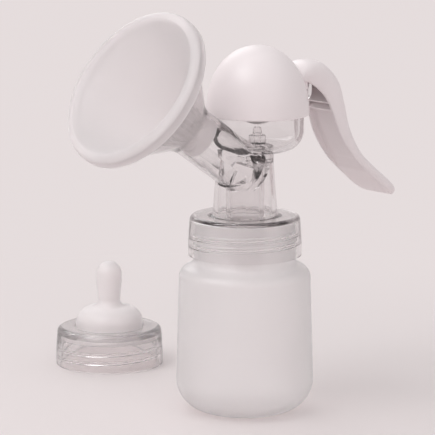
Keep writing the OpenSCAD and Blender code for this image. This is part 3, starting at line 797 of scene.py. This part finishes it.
class PUMP_OT_valve(bpy.types.Operator):
    """Duckbill valve: a sleeve on the drop tube and a bill that closes to a slit"""

    bl_idname = "pump.valve"
    bl_label = "Duckbill valve"

    # Sleeve: its height, and the radius of the hole in its floor
    sleeve_h = 8.0
    hole_r = 6.0
    # Bill: start of its outside below the sleeve's floor, start of its inside above it, how much shorter the
    # inside is, and half the thickness of the lip outside and inside
    bill_drop = 0.4
    room_rise = 0.5
    room_short = 1.6
    lip_out = 0.9
    lip_in = 0.18

    def execute(self, context):
        wall = mm("valve_wall")
        tube_r = mm("drop_tube_d") / 2
        bore = tube_r + SEAT_GAP
        outer = bore + wall
        floor = mm("collar_z") + mm("collar_h") - mm("drop_tube_reach") - SEAT_GAP
        top = floor + self.sleeve_h
        bill_l = mm("duckbill_l")
        sleeve = rounded([[self.hole_r, floor - wall], [outer, floor - wall], [outer, top], [bore, top],
                          [bore, floor], [self.hole_r, floor]], 0.4, closed=True)
        valve = solid("duckbill", lathe(sleeve, 96))
        join(valve, self.bill(tube_r, floor - self.bill_drop, bill_l, self.lip_out))
        cut(valve, self.bill(tube_r - wall, floor + self.room_rise, bill_l - self.room_short, self.lip_in))
        dress(valve, silicone(), "head")
        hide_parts("duckbill_valve")
        return {"FINISHED"}

    def bill(self, r, top, length_mm, lip):
        """Loft from a disc to a flat lip.

        At share s of the way down the section is |x / w|^n + |y / r|^n = 1. With s^0.9 the half thickness w
        falls from r to the lip's, and n rises evenly from 2 to 4.
        """
        s = np.linspace(0, 1, 28)[:, None]
        a = np.linspace(0, 2 * math.pi, 72, endpoint=False)[None]
        w = r + (lip - r) * s ** 0.9
        n = 2 + 2 * s
        x = w * np.sign(np.cos(a)) * np.abs(np.cos(a)) ** (2 / n)
        y = r * np.sign(np.sin(a)) * np.abs(np.sin(a)) ** (2 / n)
        return tube(np.stack([x, y, (top - length_mm * s) * np.ones_like(a)], -1))


class PUMP_OT_cushion(bpy.types.Operator):
    """Silicone cushion that lines the horn and rolls over its rim"""

    bl_idname = "pump.cushion"
    bl_label = "Massage cushion"

    # Depth of the lip over the horn's bead, how far its roll turns inwards, in degrees, and the bends at the
    # throat on the back and on the front
    lip_depth = 3.5
    roll_turn = 115
    back_bend = 6.4
    front_bend = 9.0

    def execute(self, context):
        wall = mm("body_wall")
        thick = mm("cushion_wall")
        start = mm("tunnel_l")
        end = start - mm("cushion_sleeve")
        rim = start + mm("horn_l")
        seat = rim + SEAT_GAP
        hook = rim - self.lip_depth
        mouth = mm("mouth_d") / 2
        back = mm("tunnel_d") / 2 - wall - SEAT_GAP
        front = back - thick
        slope = math.atan2(mouth - mm("tunnel_d") / 2, rim - start)
        back_rim = mouth - (wall + SEAT_GAP) / math.cos(slope)
        lip_in = mouth + SEAT_GAP
        lip = lip_in + thick
        roll = arc(lip - 2 * thick, seat, 2 * thick, 0, self.roll_turn, 24)
        outside = rounded([[front, end], [back, end], [back, start + 0.2], [back_rim, rim], [back_rim, seat],
                           [lip_in, seat], [lip_in, hook], [lip, hook], [lip, rim - 1]],
                          [0.5, 0.5, self.back_bend, 0, 0, 0.3, 0.5, 0.5, 0])
        inside = rounded([roll[-1], [front, start + 0.5], [front, end + 1]], self.front_bend, steps=16)
        cushion = solid("cushion", along_funnel(lathe(np.vstack([outside, roll, inside]), 160)))
        dress(cushion, shaded_cushion_silicone(), "head", smooth=50)
        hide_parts("massage_cushion")
        return {"FINISHED"}


class PUMP_OT_diaphragm(bpy.types.Operator):
    """Silicone dish hooked over the bowl's rim, with a bulge round the hub that holds the plunger"""

    bl_idname = "pump.diaphragm"
    bl_label = "Diaphragm"

    skirt_h = 4.5
    # Hub that holds the plunger: its radius, the radius of its bore, its top above the dome's edge, and the
    # thickness of its floor
    hub_r = 5.0
    hub_bore = 2.7
    hub_h = 2.0
    hub_floor = 1.4

    def execute(self, context):
        t = mm("diaphragm_t")
        edge = mm("dome_z")
        rim = edge + mm("rim_h")
        bulge_r = mm("bulge_r")
        drop = mm("bulge_drop")
        ball = (bulge_r ** 2 + drop ** 2) / 2 / drop
        turn = math.degrees(math.asin(bulge_r / ball))
        skirt = mm("bowl_d") / 2 - mm("rim_step") + SEAT_GAP
        hem = rim - self.skirt_h
        dish = mm("bowl_d") / 2 - mm("bowl_wall") - MOVE_GAP
        top = rim + SEAT_GAP
        socket = edge + self.hub_h
        floor = edge - drop + self.hub_floor
        hub = self.hub_r
        bore = self.hub_bore
        bulge = arc(0, edge - drop + ball, ball, -90, turn - 90, 16)
        upper = rounded(
            [bulge[-1], [dish, top], [skirt, top], [skirt, hem], [skirt + t, hem], [skirt + t, top + t],
             [dish - t, top + t], [bulge_r - t / 2, edge + t], [hub, edge + t / 2], [hub, socket],
             [bore, socket], [bore, floor], [0, floor]],
            [0, 0.6, 0.2, 0.2, 0.4, 0.6, 0.8, 1.5, 1.0, 0.4, 0.2, 0, 0])
        profile = np.vstack([bulge, upper])
        profile[0, 0] = 0
        dish_piece = solid("diaphragm_dish", on_bowl_axis(lathe(profile, 128)))
        dress(dish_piece, silicone())
        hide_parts("diaphragm")
        x = mm("bowl_x") * MM
        (rim - 0.5) * MM
        (socket + 0.2) * MM
        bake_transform(dish_piece)
        return {"FINISHED"}


class PUMP_OT_plunger(bpy.types.Operator):
    """Hard stem with a groove between two flanges"""

    bl_idname = "pump.plunger"
    bl_label = "Plunger"

    # Half the height of the groove, thickness of a flange, and radius of the shoulder on the diaphragm's hub
    groove = 2.6
    flange = 1.6
    shoulder_r = 4.5

    def execute(self, context):
        hub = PUMP_OT_diaphragm
        edge = mm("dome_z")
        foot = edge - mm("bulge_drop") + hub.hub_floor + SEAT_GAP
        foot_r = hub.hub_bore - SEAT_GAP
        seat = edge + hub.hub_h + SEAT_GAP
        low = mm("peg_z") - self.groove
        high = mm("peg_z") + self.groove
        stem = mm("plunger_r")
        wide = mm("flange_r")
        shoulder = self.shoulder_r
        thick = self.flange
        profile = rounded(
            [[0, foot], [foot_r, foot], [foot_r, seat], [shoulder, seat], [shoulder, seat + thick],
             [stem, seat + 2 * thick], [stem, low - thick], [wide, low - thick], [wide, low], [stem, low],
             [stem, high], [wide, high], [wide, high + thick], [0, high + thick]],
            [0, 0.4, 0, 0.3, 0.4, 0.4, 0.4, 0.5, 0.5, 0.3, 0.3, 0.5, 0.5, 0])
        piece = solid("plunger_stem", on_bowl_axis(lathe(profile, 72)))
        dress(piece, white_plastic(), "plunger")
        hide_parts("plunger")
        return {"FINISHED"}


def dome_curve(grow, steps=64, fullness=2.1):
    """Superellipse from the dome's edge to its crown, grown outwards.

    Over a quarter turn r falls as cos^(2/fullness) and z rises as sin^(2/fullness).
    """
    a = np.linspace(0, math.pi / 2, steps + 1)
    power = 2 / fullness
    r = (mm("dome_d") / 2 + grow) * np.abs(np.cos(a)) ** power
    r[-1] = 0
    return np.column_stack([r, mm("dome_z") + (mm("dome_h") + grow) * np.sin(a) ** power])


class PUMP_OT_dome(bpy.types.Operator):
    """White dome over the bowl, with a window for the lever's fork and a notch for the strut"""

    bl_idname = "pump.dome"
    bl_label = "Dome"

    # Window and notch: lower and upper edge above the dome's edge, and softness of the four corners
    window = (10.4, 18.2)
    window_soft = (1.6, 1.6, 1.6, 1.6)
    notch = (-2.0, PUMP_OT_body.knee_h + MOVE_GAP)
    notch_soft = (0, 0, 1.2, 1.2)
    # Stretch from the bowl's axis in which both are cut
    cut_x = (12, 40)

    def opening(self, half, heights, soft):
        """Block that cuts a hole of that half width, between two heights above the dome's edge."""
        low, high = (mm("dome_z") + h for h in heights)
        outline = rounded([[-half, low], [half, low], [half, high], [-half, high]], soft, closed=True)
        return on_bowl_axis(slab(distinct(outline), *self.cut_x))

    def execute(self, context):
        outer = dome_curve(0)[::-1]
        inner = dome_curve(-mm("dome_wall"))
        foot = rounded([outer[-2], outer[-1], inner[0], inner[1]], 0.5)
        cover = solid("dome_shell", on_bowl_axis(lathe(np.vstack([outer[:-2], foot, inner[2:]]), 160)))
        fork = mm("arch_w") / 2 - mm("lever_wall") + BOND
        cut(cover, self.opening(fork + MOVE_GAP, self.window, self.window_soft))
        cut(cover, self.opening(mm("bracket_w") / 2 + MOVE_GAP, self.notch, self.notch_soft))
        dress(cover, white_plastic(), "head")
        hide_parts("dome_cover")
        return {"FINISHED"}


def smooth_curve(points, t):
    """Catmull-Rom curve through the points, one unit of t per point, for an array of t."""
    p = np.asarray(points, float)
    last = len(p) - 1
    i = np.minimum(np.floor(t).astype(int), last - 1)
    u = (t - i)[:, None]
    a, b, c, d = p[np.maximum(i - 1, 0)], p[i], p[i + 1], p[np.minimum(i + 2, last)]
    return (2 * b + (c - a) * u + (2 * a - 5 * b + 4 * c - d) * u ** 2 + (3 * b - a - 3 * c + d) * u ** 3) / 2


class PUMP_OT_handle(bpy.types.Operator):
    """White lever: a hooded channel over the pivot, which runs out to a flat grip, and a fork in the dome"""

    bl_idname = "pump.handle"
    bl_label = "Lever"

    # Edges in the X-Z plane, from the pivot: from the hood at the dome, over the arch, to the tip
    outer_edge = ((-13.7, -2), (-5.8, 5.4), (2.3, 7.3), (11.2, 4.6), (19, -3.2), (22.5, -14.2),
                  (25.4, -27.2), (31.7, -39.5), (39.9, -47.6), (59.4, -62.5))
    inner_edge = ((-11.7, -3), (-5.1, -2.6), (0.8, -5.5), (6.3, -9.7), (9.9, -14.9), (13, -22.7),
                  (16.9, -31.6), (23.6, -41.3), (32.8, -50.4), (55.2, -68))
    # Places along the edges, counted in their points: end of the even arch, and length of the round tip
    arch_end = 3.0
    tip_l = 0.5
    # Section: power of the domed back, share of the thickness under it, share of the width at the flat side,
    # and power of the round tip
    back_power = 2.6
    base_share = 0.3
    foot_share = 0.94
    tip_power = 2.4
    # Channel: shares of its depth and width at which its bevelled roof starts, and softness of its corners;
    # then its depth at places after the arch, and the place and length of its run-out
    roof_depth = 0.78
    roof_width = 0.8
    channel_soft = (0, 0.9, 0.5, 1.5, 1.5)
    channel_places = (4, 4.6, 7.4, 8)
    channel_depths = (12, 4, 2.3, 2)
    channel_end = 8.05
    run_out = 0.5
    # Ribs: their places, the shares of the lever's thickness that they span, and half their own thickness
    rib_places = (4.1, 4.6)
    rib_span = (0.06, 0.75)
    rib_half = 0.8
    # Skin left outside the trunnion pockets, and room round the trunnions, on the radius
    pocket_skin = 0.8
    pivot_gap = 0.05
    # Fork: half the height of an arm, its bend beside the plunger, its rise up to there in degrees, its inner
    # face, and length and height of the gusset at its root
    fork_half = 1.4
    fork_bend = 7.0
    fork_rise = 8.0
    fork_y = 4.2
    gusset_l = 5.0
    gusset_h = 4.0
    # How far the cut for the dome reaches below its edge
    dome_skirt = 6.0

    def half_width(self, t):
        """Half the lever's width at t: even over the arch, then growing towards the grip."""
        share = np.maximum(0, t - self.arch_end) / (len(self.outer_edge) - 1 - self.arch_end)
        return (mm("arch_w") + (mm("grip_w") - mm("arch_w")) * share) / 2

    def channel_depth(self, t, thick):
        """Depth of the channel at t: up to the wall over the arch, then shallow, and nothing at its end."""
        roof = np.maximum(thick - mm("lever_wall"), 0.4)
        shallow = np.minimum(roof, np.interp(t, self.channel_places, self.channel_depths))
        depth = np.where(t < self.channel_places[0], roof, shallow)
        return depth * np.sqrt(np.clip((self.channel_end - t) / self.run_out, 0.0001, 1))

    def sections(self, t, thick):
        """Sections at t as (across, up) points: the domed back, then the flat side with its channel."""
        w = self.half_width(t)
        inner_w = w - mm("lever_wall")
        depth = self.channel_depth(t, thick)
        a = np.linspace(0, math.pi, 41)
        power = 2 / self.back_power
        base = self.base_share
        back = np.stack([w[:, None] * (np.sign(np.cos(a)) * np.abs(np.cos(a)) ** power),
                         thick[:, None] * (base + (1 - base) * np.abs(np.sin(a)) ** power)], -1)
        zero = np.zeros_like(t)
        half = [(w, base * thick), (self.foot_share * w, zero), (inner_w, zero),
                (inner_w, self.roof_depth * depth), (self.roof_width * inner_w, depth)]
        corners = [(-y, h) for y, h in half] + half[::-1]
        soft = self.channel_soft + self.channel_soft[::-1]
        under = rounded(np.stack([np.stack(corner, -1) for corner in corners], 1), soft, steps=4)[:, 1:-1]
        return np.concatenate([back, under], 1)

    def sweep(self):
        """The lever's section carried along its two edges.

        At t the section has a domed back, a superellipse of power 2.6, on a base of 0.3 of the thickness, and
        a channel let into its flat side. Over the last part of the grip the width shrinks as
        (1 - u^2.4)^(1/2.4) and the thickness as sqrt(1 - u^2), to a round tip.
        """
        last = len(self.outer_edge) - 1
        tip = last - self.tip_l * np.cos(np.linspace(0.02, math.pi / 2.02, 24))
        t = np.concatenate([np.linspace(0, last - self.tip_l, 150), tip])
        low = smooth_curve(self.inner_edge, t)
        across = smooth_curve(self.outer_edge, t) - low
        thick = np.linalg.norm(across, axis=1)
        section = self.sections(t, thick)
        u = np.clip((t - last + self.tip_l) / self.tip_l, 0, 1)[:, None]
        y = section[..., 0] * (1 - u ** self.tip_power * 0.999) ** (1 / self.tip_power)
        share = 0.5 + (section[..., 1] / thick[:, None] - 0.5) * np.sqrt(1 - u * u * 0.98)
        xz = low[:, None] + across[:, None] * share[..., None]
        return tube(np.stack([mm("pivot_x") + xz[..., 0], y, mm("pivot_z") + xz[..., 1]], -1))

    def rib(self, t):
        """Thin cross wall in the channel at t."""
        low = smooth_curve(self.inner_edge, np.array([t]))[0]
        high = smooth_curve(self.outer_edge, np.array([t]))[0]
        a, b = (low + (high - low) * share for share in self.rib_span)
        along = (b - a) / np.linalg.norm(b - a) * self.rib_half
        side = np.array([along[1], -along[0]])
        half = self.half_width(t) - mm("lever_wall") + BOND
        outline = np.array([a - side, a + side, b + side, b - side]) + [mm("pivot_x"), mm("pivot_z")]
        return plate(rounded(outline, 0.3, closed=True, steps=2), -half, half)

    def execute(self, context):
        x, z, peg = mm("pivot_x"), mm("pivot_z"), mm("peg_z")
        thick = self.fork_half
        near = self.fork_y
        far = mm("arch_w") / 2 - mm("lever_wall") + BOND
        root_x = x - mm("pivot_r") - thick
        root_z = z - 2 * mm("pivot_r")
        back_x = root_x - self.gusset_l
        under = root_z - thick
        gusset = [[back_x, under], [root_x, under], [root_x, z + self.gusset_h], [back_x, z]]
        bend = self.fork_bend
        bend_z = peg + bend * math.tan(math.radians(self.fork_rise))
        arm = distinct(rounded(
            [[0, peg - thick], [bend, bend_z - thick], [root_x, under], [root_x, root_z + thick],
             [bend, bend_z + thick], [0, peg + thick]], [0, 3, 0, 0, 3, 0], closed=True))
        pin = crosswise(rod(mm("peg_r"), near, far, 48))
        below = mm("dome_z") - self.dome_skirt
        dome = np.vstack([[[0, below], [mm("dome_d") / 2 + MOVE_GAP, below]], dome_curve(MOVE_GAP)])
        pocket = mm("arch_w") / 2 - self.pocket_skin
        hole = crosswise(rod(mm("pivot_r") + self.pivot_gap, -pocket, pocket, 48))
        lever = solid("lever", on_bowl_axis(self.sweep()))
        for t in self.rib_places:
            join(lever, on_bowl_axis(self.rib(t)))
        sides = ((near, far, 0), (-far, -near, -near - far))
        for low, high, shift in sides:
            join(lever, on_bowl_axis(plate(gusset, low, high)))
        cut(lever, on_bowl_axis(lathe(dome, 160)))
        for low, high, shift in sides:
            join(lever, on_bowl_axis(plate(arm, low, high)))
            join(lever, on_bowl_axis(moved(pin, y=shift, z=peg)))
        cut(lever, on_bowl_axis(moved(hole, x=x, z=z)))
        dress(lever, white_plastic(), "lever", smooth=30)
        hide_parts("handle")
        return {"FINISHED"}


def on_teat_axis(surface):
    """The surface moved to where the teat set stands."""
    low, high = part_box("teat_ring")
    return moved(surface, x=(low.x + high.x) / 2 / MM, y=(low.y + high.y) / 2 / MM)


class PUMP_OT_teat_ring(bpy.types.Operator):
    """Screw ring of the feeding set, with the thread inside it"""

    bl_idname = "pump.teat_ring"
    bl_label = "Screw ring"

    # How much narrower the ring is at the top, on the radius
    draft = 0.9
    # Recess for the teat's flange: how far it steps out from the bore, and its height
    recess = 0.5
    recess_h = 2.2
    # Thread: its height above the bore, and its start above the ring's foot
    ring_thread_h = 0.8
    thread_rise = 2.4

    def execute(self, context):
        r = mm("ring_d") / 2
        high = mm("ring_h")
        bore = r - mm("ring_wall")
        wide = bore + self.recess
        hole = mm("teat_d") / 2 + SEAT_GAP
        seat = high - mm("ring_top")
        step = seat - self.recess_h
        profile = rounded(
            [[bore, 0], [r, 0], [r, high / 3], [r - self.draft, high], [hole, high], [hole, seat],
             [wide, seat], [wide, step], [bore, step]],
            [0.5, 0.6, 2, 3, 1, 0, 0, 0.2, 0.2], closed=True, steps=8)
        ring = solid("screw_ring", on_teat_axis(lathe(profile, 160)))
        thread = helix_ridge(bore, -1, self.ring_thread_h, self.thread_rise, mm("thread_pitch"),
                             turns=2.1, width=2.0)
        join(ring, on_teat_axis(thread))
        dress(ring, ring_plastic(), "teat_set")
        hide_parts("teat_ring")
        return {"FINISHED"}


class PUMP_OT_teat(bpy.types.Operator):
    """Silicone teat: clamped flange, round shoulder, drawn-in neck and nipple"""

    bl_idname = "pump.teat"
    bl_label = "Teat"

    # Shoulder: its height above the ring, the share of that in its bend, and its turn in degrees
    shoulder_h = 10.5
    bend_share = 0.75
    shoulder_turn = 80
    # Waist: how much narrower than the nipple it is, on the radius, and length of the taper above it
    waist_in = 1.0
    taper = 4.0
    flange_t = 2.0

    def side(self, wall):
        """Shoulder, neck and nipple as one (r, z) curve, moved in by the wall thickness."""
        base = mm("teat_d") / 2
        nip = mm("nipple_d") / 2
        ring = mm("ring_h")
        z = ring + self.shoulder_h
        tip = ring + mm("teat_h")
        bend = self.shoulder_h * self.bend_share
        turn = self.shoulder_turn
        neck = nip - self.waist_in
        waist = base - bend - neck
        return np.vstack([
            [[base - wall, ring + 0.8]],
            arc(base - bend, z - bend, bend - wall, 0, turn, 18),
            arc(neck + waist, z + waist, waist + wall, 180 + turn, 180, 18),
            [[nip - wall, tip - nip - self.taper]],
            arc(0, tip - nip, nip - wall, 0, 90, 20)])

    def execute(self, context):
        wall = mm("teat_wall")
        base = mm("teat_d") / 2
        high = mm("ring_h") - mm("ring_top") - SEAT_GAP
        low = high - self.flange_t
        rim = mm("ring_d") / 2 - mm("ring_wall") + PUMP_OT_teat_ring.recess - SEAT_GAP
        flange = rounded([[base - wall, low], [rim, low], [rim, high], [base, high], [base, high + 2]],
                         [0, 0.4, 0.4, 0, 0])
        inner = self.side(wall)[::-1]
        outer = self.side(0)
        inner[0, 0] = 0
        outer[-1, 0] = 0
        profile = np.vstack([outer[::-1], flange[::-1], inner[::-1]])
        teat = solid("teat_cone", on_teat_axis(lathe(profile, 128)))
        dress(teat, silicone(), "teat_set", smooth=50)
        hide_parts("teat")
        return {"FINISHED"}


class PUMP_OT_stage(bpy.types.Operator):
    """Pale floor that fades into the backdrop, soft lights and the camera"""

    bl_idname = "pump.stage"
    bl_label = "Stage"

    # Camera: degrees round the pump and above the floor, then metres
    azimuth = -41.0
    elevation = 10.5
    distance = 1.3
    view_width = 0.214
    aim_right = -0.0135
    aim_up = 0.0965
    # Floor in millimetres: its radius, its innermost ring, how far it lies below the base, and its thickness
    floor_r = 6000
    floor_inner_r = 20
    floor_drop = 0.05
    floor_t = 2.0
    # Metres from the origin over which the floor fades, and heights of a ray over which the backdrop darkens
    fade = (0.06, 0.4)
    climb = (0.2, 0.8)
    # Lamps: name, place and size in metres, and power in watts; where they aim; and the even light all round
    lamps = (("key", (-0.84, 0.07, 1.1), 0.9, 8.5), ("fill", (-0.2, -1.1, 0.6), 0.8, 0.6),
             ("rim", (0.35, 0.85, 0.75), 0.6, 1.5))
    lamp_aim = Vector((0, 0, 0.1))
    even_colour = (1.0, 1.0, 1.0, 1.0)
    even_light = 0.6
    # Light crosses up to twenty faces where the clear walls stand one behind another
    light_steps = 32

    def ease(self, wire, value, ends):
        """Share of the way from one end to the other, eased in and out."""
        return wire.add("ShaderNodeMapRange", {"interpolation_type": "SMOOTHSTEP"},
                        {"Value": value, "From Min": ends[0], "From Max": ends[1]}, "Result")

    def floor_material(self):
        """Matt floor whose colour gives way to the plain backdrop colour with distance from the origin."""
        material, wire = new_material("floor")
        place = wire.add("ShaderNodeTexCoord", {}, {}, "Object")
        far = wire.add("ShaderNodeVectorMath", {"operation": "LENGTH"}, {0: place}, "Value")
        matt = wire.add("ShaderNodeBsdfDiffuse", {}, {"Color": tint("paper")})
        plain = wire.add("ShaderNodeEmission", {}, {"Color": tint("paper"), "Strength": 1.0})
        mixed = wire.add("ShaderNodeMixShader", {}, {0: self.ease(wire, far, self.fade), 1: matt, 2: plain})
        wire.add("ShaderNodeOutputMaterial", {}, {"Surface": mixed})
        return material

    def floor(self):
        """Disc under the pump, in rings that widen outwards."""
        r = np.concatenate([[0.0], np.geomspace(self.floor_inner_r, self.floor_r, 24)])
        top = np.column_stack([r, np.full_like(r, -self.floor_drop)])
        under = [[self.floor_r, -self.floor_t], [0, -self.floor_t]]
        floor = solid("floor", lathe(np.vstack([top, under]), 96))
        floor.data.materials.append(self.floor_material())

    def world(self, scene):
        """Backdrop that darkens towards the zenith, and even light.

        A ray from the camera, or one off gloss or through clear plastic, meets the backdrop. Any other meets
        the even light.
        """
        scene.world = bpy.data.worlds.new("studio")
        scene.world.use_nodes = True
        tree = scene.world.node_tree
        tree.nodes.clear()
        wire = Wire(tree)
        camera = wire.add("ShaderNodeLightPath", {}, {}, "Is Camera Ray")
        gloss = Wire(tree, camera.socket.node.outputs["Is Glossy Ray"])
        through = Wire(tree, camera.socket.node.outputs["Is Transmission Ray"])
        seen = wire.math("MINIMUM", camera + gloss + through, 1.0)
        sky = wire.add("ShaderNodeTexCoord", {}, {}, "Generated")
        height = wire.add("ShaderNodeSeparateXYZ", {}, {0: sky}, "Z")
        shade = wire.blend(self.ease(wire, height, self.climb), tint("paper"), tint("overhead"))
        even = wire.add("ShaderNodeBackground", {}, {"Color": self.even_colour, "Strength": self.even_light})
        plain = wire.add("ShaderNodeBackground", {}, {"Color": shade, "Strength": 1.0})
        mixed = wire.add("ShaderNodeMixShader", {}, {0: seen, 1: even, 2: plain})
        wire.add("ShaderNodeOutputWorld", {}, {"Surface": mixed})

    def lamp(self, name, place, size, power):
        """Square soft light at a place, aimed at the middle of the pump."""
        data = bpy.data.lights.new(name, "AREA")
        data.size = size
        data.energy = power
        lamp = bpy.data.objects.new(name, data)
        lamp.location = place
        lamp.rotation_euler = (self.lamp_aim - lamp.location).to_track_quat("-Z", "Y").to_euler()
        bpy.context.scene.collection.objects.link(lamp)

    def camera(self, scene):
        """Camera on a ring round the pump, framed for a square image."""
        az, el = math.radians(self.azimuth), math.radians(self.elevation)
        look = Vector((-math.sin(az) * math.cos(el), math.cos(az) * math.cos(el), -math.sin(el)))
        right = Vector((math.cos(az), math.sin(az), 0))
        aim = right * self.aim_right + Vector((0, 0, self.aim_up))
        data = bpy.data.cameras.new("camera")
        data.sensor_fit = "HORIZONTAL"
        data.sensor_width = 36.0
        data.lens = data.sensor_width * self.distance / self.view_width
        data.clip_start = 0.01
        camera = bpy.data.objects.new("camera", data)
        camera.location = aim - look * self.distance
        camera.rotation_euler = look.to_track_quat("-Z", "Y").to_euler()
        scene.collection.objects.link(camera)
        scene.camera = camera

    def execute(self, context):
        scene = context.scene
        scene.view_settings.view_transform = "Standard"
        for limit in ("max_bounces", "glossy_bounces", "transmission_bounces", "transparent_max_bounces"):
            setattr(scene.cycles, limit, self.light_steps)
        self.floor()
        self.world(scene)
        for lamp in self.lamps:
            self.lamp(*lamp)
        self.camera(scene)
        return {"FINISHED"}


class PUMP_PT_sidebar(bpy.types.Panel):
    """Lists the pump's pieces, sizes and colours"""

    bl_idname = "PUMP_PT_sidebar"
    bl_label = "Breast pump"
    bl_space_type = "VIEW_3D"
    bl_region_type = "UI"
    bl_category = "Pump"

    def draw(self, context):
        layout = self.layout
        for operator in OPERATORS:
            layout.operator(operator.bl_idname)
        for group in (context.scene.pump_sizes, context.scene.pump_colours):
            for name in group.__annotations__:
                layout.prop(group, name)


OPERATORS = (PUMP_OT_bottle, PUMP_OT_body, PUMP_OT_valve, PUMP_OT_cushion, PUMP_OT_diaphragm, PUMP_OT_plunger,
             PUMP_OT_dome, PUMP_OT_handle, PUMP_OT_teat_ring, PUMP_OT_teat, PUMP_OT_stage)
CLASSES = (PumpSizes, PumpColours, *OPERATORS, PUMP_PT_sidebar)


def register():
    """Registers the classes and hangs the sizes and colours on the scene."""
    for cls in CLASSES:
        bpy.utils.register_class(cls)
    bpy.types.Scene.pump_sizes = PointerProperty(type=PumpSizes)
    bpy.types.Scene.pump_colours = PointerProperty(type=PumpColours)


def unregister():
    """Takes everything off again."""
    del bpy.types.Scene.pump_colours
    del bpy.types.Scene.pump_sizes
    for cls in reversed(CLASSES):
        bpy.utils.unregister_class(cls)


def main():
    """Builds all pieces and the stage."""
    register()
    bpy.ops.pump.bottle()
    bpy.ops.pump.body()
    bpy.ops.pump.valve()
    bpy.ops.pump.cushion()
    bpy.ops.pump.diaphragm()
    bpy.ops.pump.plunger()
    bpy.ops.pump.dome()
    bpy.ops.pump.handle()
    bpy.ops.pump.teat_ring()
    bpy.ops.pump.teat()
    bpy.ops.pump.stage()


if __name__ == "__main__":
    main()
